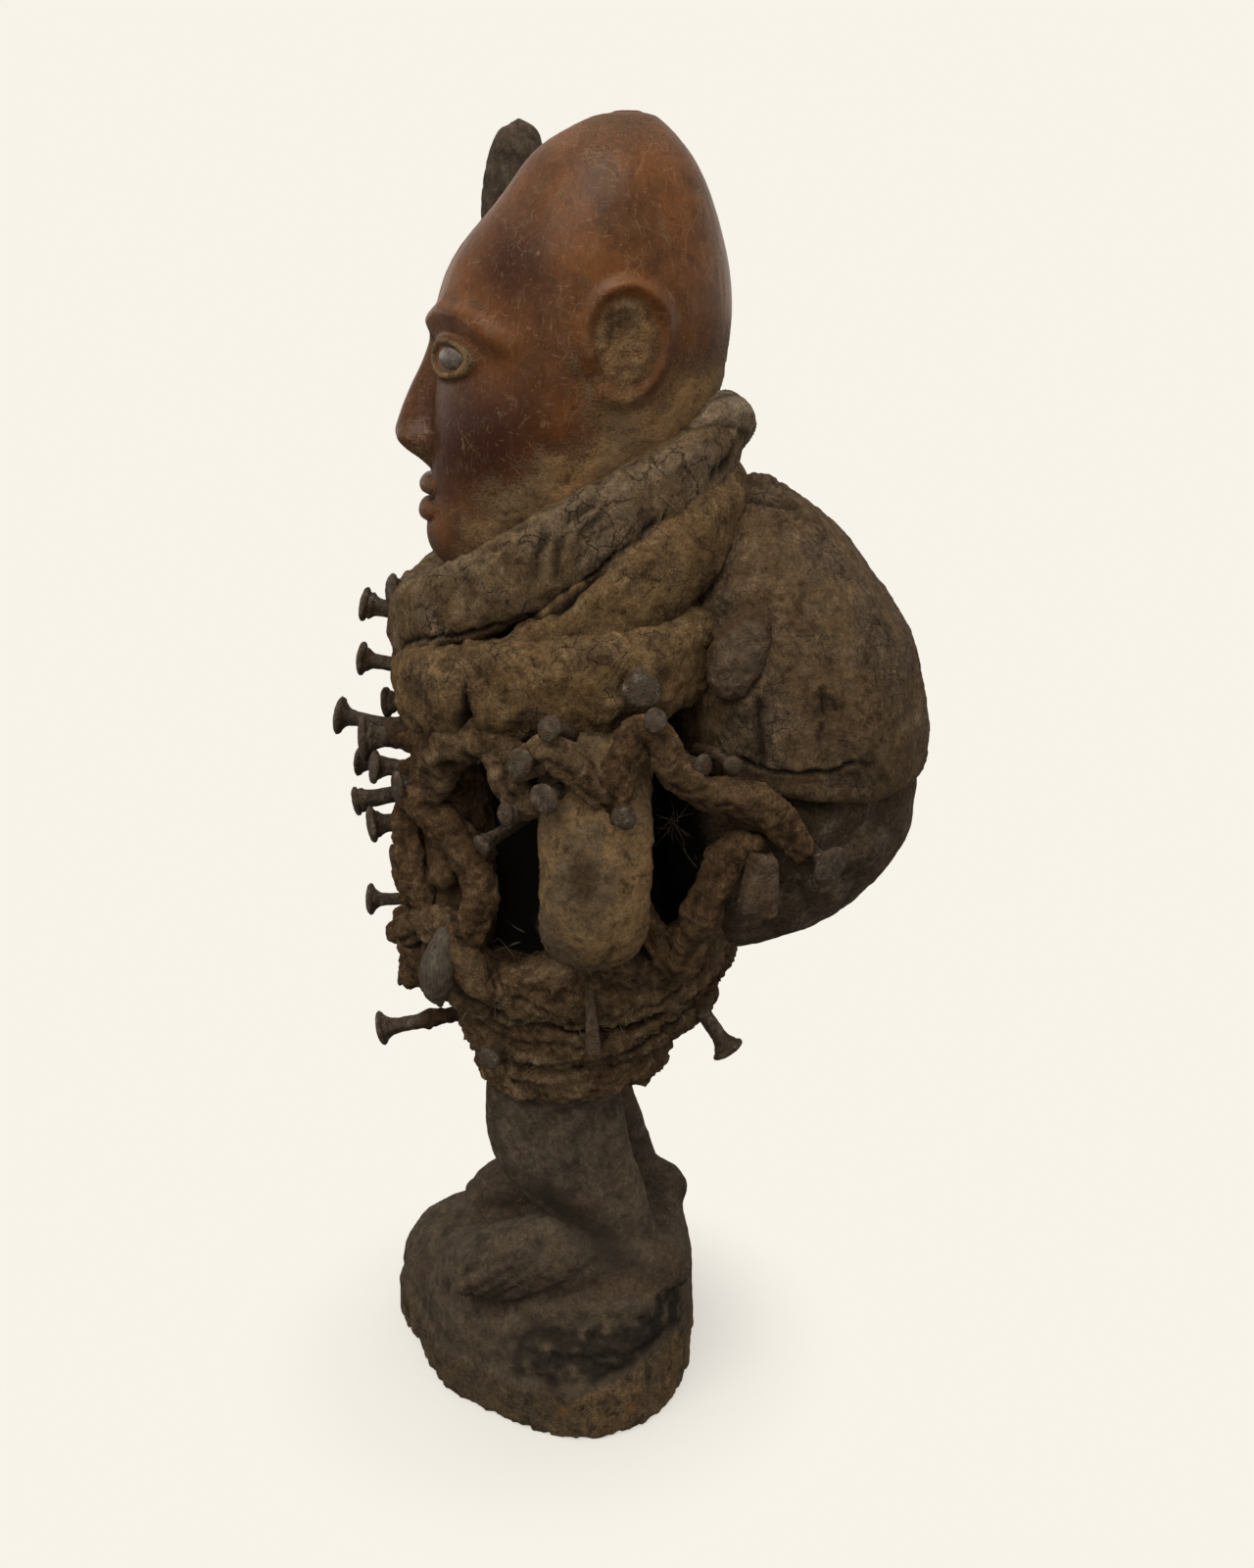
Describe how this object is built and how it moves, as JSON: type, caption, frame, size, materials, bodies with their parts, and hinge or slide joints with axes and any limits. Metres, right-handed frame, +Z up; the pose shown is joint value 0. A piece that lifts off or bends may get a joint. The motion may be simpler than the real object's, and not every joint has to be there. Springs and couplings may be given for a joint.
{
  "type": "nkisi power figure",
  "caption": "Carved wooden power figure with a raised right arm, encrusted cloth wraps and back bundle, driven with forged nails.",
  "frame": {"origin": "centre of the flat underside of the base", "axes": "+Z up, the face looks along -Y, the figure's left side is +X"},
  "size_m": [0.1956, 0.2281, 0.5],
  "materials": {
    "wood": "hand-polished honey-brown head, dull dark-brown body, legs and base, worn and charred near the foot",
    "cloth": "matt, stiff cloth caked with brown earth and resin",
    "crust": "matt, gritty, dark-brown crusted cloth strips",
    "iron": "forged iron, dark and rusty",
    "eye_glass": "glossy, cloudy inlay, opaque",
    "seed": "dry, grey-brown seed pod"
  },
  "bodies": {
    "root": {"nail_chin": "iron", "nail_throat": "iron", "nail_collar": "iron", "nail_chest_right": "iron", "nail_chest_long": "iron", "nail_chest_thick": "iron", "nail_chest_low": "iron", "nail_chest_short": "iron", "nail_left_breast": "iron", "nail_belly_upper": "iron", "nail_belly_left": "iron", "nail_belly_short": "iron", "nail_belly_long": "iron", "nail_belly_stub": "iron", "nail_hip_hooked": "iron", "nail_hip_front": "iron", "nail_shoulder": "iron", "nail_arm_top": "iron", "nail_arm_upper": "iron", "nail_arm_middle": "iron", "nail_arm_lower": "iron", "nail_arm_back": "iron", "nail_belly_side": "iron", "nail_strip": "iron", "nail_flank_upper": "iron", "nail_flank_lower": "iron", "nail_sling": "iron", "nail_hip_side": "iron", "nail_hip_behind": "iron", "nail_right_shoulder": "iron", "nail_right_chest": "iron", "nail_right_belly": "iron", "nail_right_flank": "iron", "bundle_stud": "iron", "iron_wedge": "iron", "flat_tack": "iron", "eye_inlay_left": "eye_glass", "eye_inlay_right": "eye_glass", "figure": "wood", "collar_upper_wrap": "cloth", "collar_middle_wrap": "cloth", "collar_lower_wrap": "cloth", "collar_knot": "cloth", "back_bundle": "cloth", "bundle_sling": "cloth", "belly_pack": "crust", "hip_wrap_upper": "crust", "hip_wrap_lower": "crust", "hip_band": "crust", "seed_pod": "seed", "strip_over_arm": "crust", "strip_arm_front": "crust", "strip_chest_fold": "crust", "strip_belly_long": "crust", "strip_belly_short": "crust", "strip_hip_front": "crust", "strip_hip_back": "crust", "strip_hip_cross": "crust", "strip_right_chest": "crust", "strip_right_flank": "crust"}
  },
  "joints": []
}
